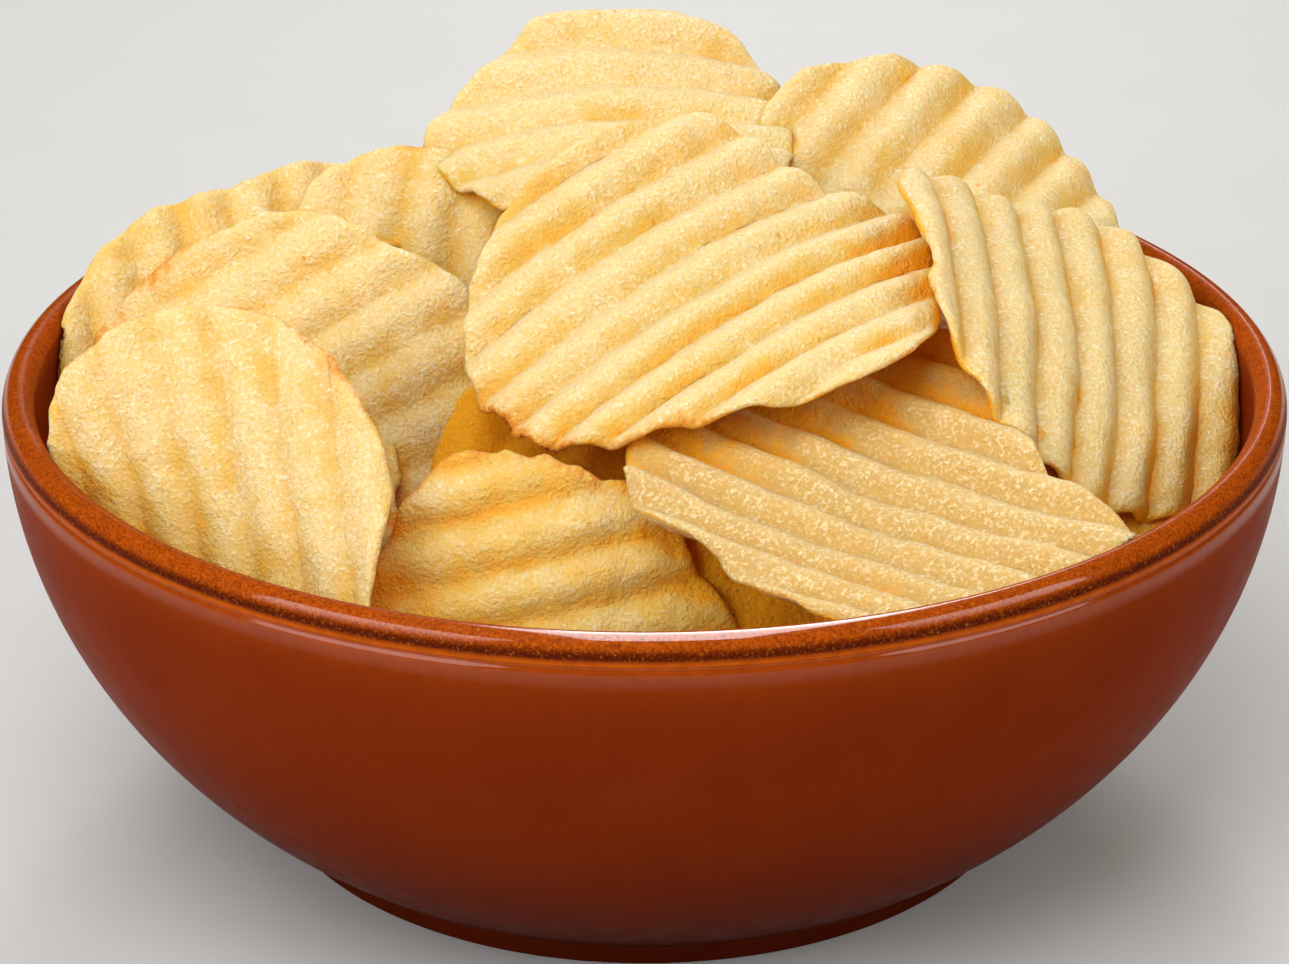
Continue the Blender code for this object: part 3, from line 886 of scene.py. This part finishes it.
def build_core(finish):
    """Buried crisps: an uneven mound that only shows deep in the gaps, painted a deep orange glow.
    """
    turns = full_turn(CORE_STEPS)
    share = np.linspace(0, 1, CORE_RINGS) ** 0.8
    rise = CORE_TOP_HEIGHT - CORE_EDGE_HEIGHT
    top = turned_points(turns, share * (wall_radius(CORE_EDGE_HEIGHT) - CORE_GAP),
                        CORE_TOP_HEIGHT - rise * share**3)
    x, y = top[..., 0], top[..., 1]
    rough = (2.2 * noise(x / 12 + 20, y / 12 + 20, CORE_SEED)
             + 0.8 * noise(x / 4 + 30, y / 4 + 30, CORE_SEED + 1))
    top[..., 2] += rough * (1 - share**6)

    # Down along the wall, then in to the axis.
    side_heights = onward(CORE_EDGE_HEIGHT, FLOOR_HEIGHT + CORE_GAP, 23)
    side_radii = wall_radius(side_heights) - CORE_GAP
    base_radii = side_radii[-1] * onward(1, 0, 7)
    base_heights = np.full(len(base_radii), side_heights[-1])
    rest = turned_points(turns, np.concatenate([side_radii, base_radii]),
                         np.concatenate([side_heights, base_heights]))
    points = np.concatenate([top, rest], axis=1)
    quads = ring_quads(CORE_STEPS, points.shape[1])
    flat = points.reshape(-1, 3)
    # Painted glow: deep orange, for light through the crisps above.
    gold_and_glow = 1.5 + 0.15 * noise(flat[:, 0] / 5 + 40, flat[:, 1] / 5 + 40, CORE_SEED + 2)
    piece = quad_mesh("crisps_core", flat, quads, {"gold_and_glow": gold_and_glow}, finish)
    close_axis(piece)
    finish_crisp(piece)


def crisp_plans(finish, deep_finish):
    """Every crisp with its look, seed, finish and grid."""
    groups = (
        (SHOWN, SHOWN_SEED, finish, SHOWN_GRID),
        ([(crisp, BURIED_GLOW_LOOK) for crisp in BURIED], BURIED_SEED, deep_finish, DEEP_GRID),
        ([(crisp, LOW_LOOK) for crisp in LOW], LOW_SEED, finish, DEEP_GRID),
        ([(crisp, REAR_LOOK) for crisp in REAR], REAR_SEED, finish, REAR_GRID),
    )
    return [(crisp, look, seed + SEED_STEP * n, chosen, grid)
            for pairs, seed, chosen, grid in groups for n, (crisp, look) in enumerate(pairs)]


def build_crisps(finish, deep_finish):
    """Makes every crisp's shape first, because each one's painted shade depends on its neighbours.
    """
    plans = crisp_plans(finish, deep_finish)
    shapes = [crisp_arrays(crisp, look, seed, grid) for crisp, look, seed, _, grid in plans]
    tree = cover_tree([wall_grid()] + [side[::2, ::2] for sides, _ in shapes for side in sides])
    for (crisp, _, _, chosen, _), ((upper, lower), values) in zip(plans, shapes):
        normal = crisp_axes(crisp)[2]
        values["shade"] = hidden_share(tree, upper, normal)
        low_values = {"shade": hidden_share(tree, lower, -normal)}
        points, quads, merged = sheet_arrays(upper, lower, values, low_values)
        finish_crisp(quad_mesh("crisp_" + crisp.name, points, quads, merged, chosen))


# ---------------------------------------------------------------- floor, lights, camera

SURROUNDINGS_COLOUR = (1.0, 0.87, 0.60)
SURROUNDINGS_STRENGTH = 0.40
FLOOR_SIZE = 6.0


def area_light(name, place, target, size, power, lights=True, reflected=True):
    """A soft rectangular light at `place` that shines at `target`, in metres and watts.

    It need not light what it shines at (`lights`), or be seen in the glaze (`reflected`).
    """
    data = bpy.data.lights.new(name, "AREA")
    data.shape = "RECTANGLE"
    data.size, data.size_y = size
    data.energy = power
    obj = bpy.data.objects.new(name, data)
    obj.visible_diffuse = lights
    obj.visible_glossy = reflected
    bpy.context.scene.collection.objects.link(obj)
    obj.location = place
    obj.rotation_euler = (Vector(target) - Vector(place)).to_track_quat("-Z", "Y").to_euler()


def build_lights():
    """Three soft lights from the front and above, and two narrow ones that the lip mirrors."""
    heap = (0.0, 0.0, 0.05)
    area_light("overhead", (-0.25, -0.40, 0.95), heap, (0.8, 0.7), 6.2, reflected=False)
    area_light("left_front", (-0.76, -0.70, 0.57), heap, (0.8, 0.6), 6.9)
    area_light("right_front", (0.9, -0.5, 0.6), heap, (0.7, 0.5), 4.4)
    area_light("rim_box", (0.05, 0.40, 1.0), (0.05, 0.40, 0.0), (0.34, 1.8), 23.0, lights=False)
    area_light("back_box", (0.045, 1.1, 0.60), (0.0, 0.0, 0.06), (0.17, 0.55), 5.0)


def build_stage():
    """The floor, and surroundings that fill the shadows with warm light but aren't mirrored."""
    bpy.ops.mesh.primitive_plane_add(size=FLOOR_SIZE)
    floor = bpy.context.object
    floor.name = "floor"
    floor.data.materials.append(floor_material())
    world = bpy.data.worlds.new("studio")
    world.use_nodes = True
    background = world.node_tree.nodes["Background"]
    background.inputs["Color"].default_value = (*SURROUNDINGS_COLOUR, 1.0)
    background.inputs["Strength"].default_value = SURROUNDINGS_STRENGTH
    world.cycles_visibility.glossy = False
    bpy.context.scene.world = world
    bpy.context.scene.view_settings.view_transform = "Standard"


CAMERA_PLACE = (0.0, -0.4425, 0.2436)
CAMERA_DIP = 24.53  # degrees below level
CAMERA_LENS = 106.5
CAMERA_SENSOR = 36.0


def build_camera():
    """The view of the photograph: from the front, a little above the rim."""
    data = bpy.data.cameras.new("camera")
    data.sensor_width = CAMERA_SENSOR
    data.lens = CAMERA_LENS
    camera = bpy.data.objects.new("camera", data)
    bpy.context.scene.collection.objects.link(camera)
    camera.location = CAMERA_PLACE
    camera.rotation_euler = (math.radians(90 - CAMERA_DIP), 0.0, 0.0)
    bpy.context.scene.camera = camera


build_bowl(glaze_material())
crisp_finish = crisp_material("crisp", CRISP_SHINE)
deep_finish = crisp_material("crisp_deep", DEEP_CRISP_SHINE)
build_core(deep_finish)
build_crisps(crisp_finish, deep_finish)
build_stage()
build_lights()
build_camera()
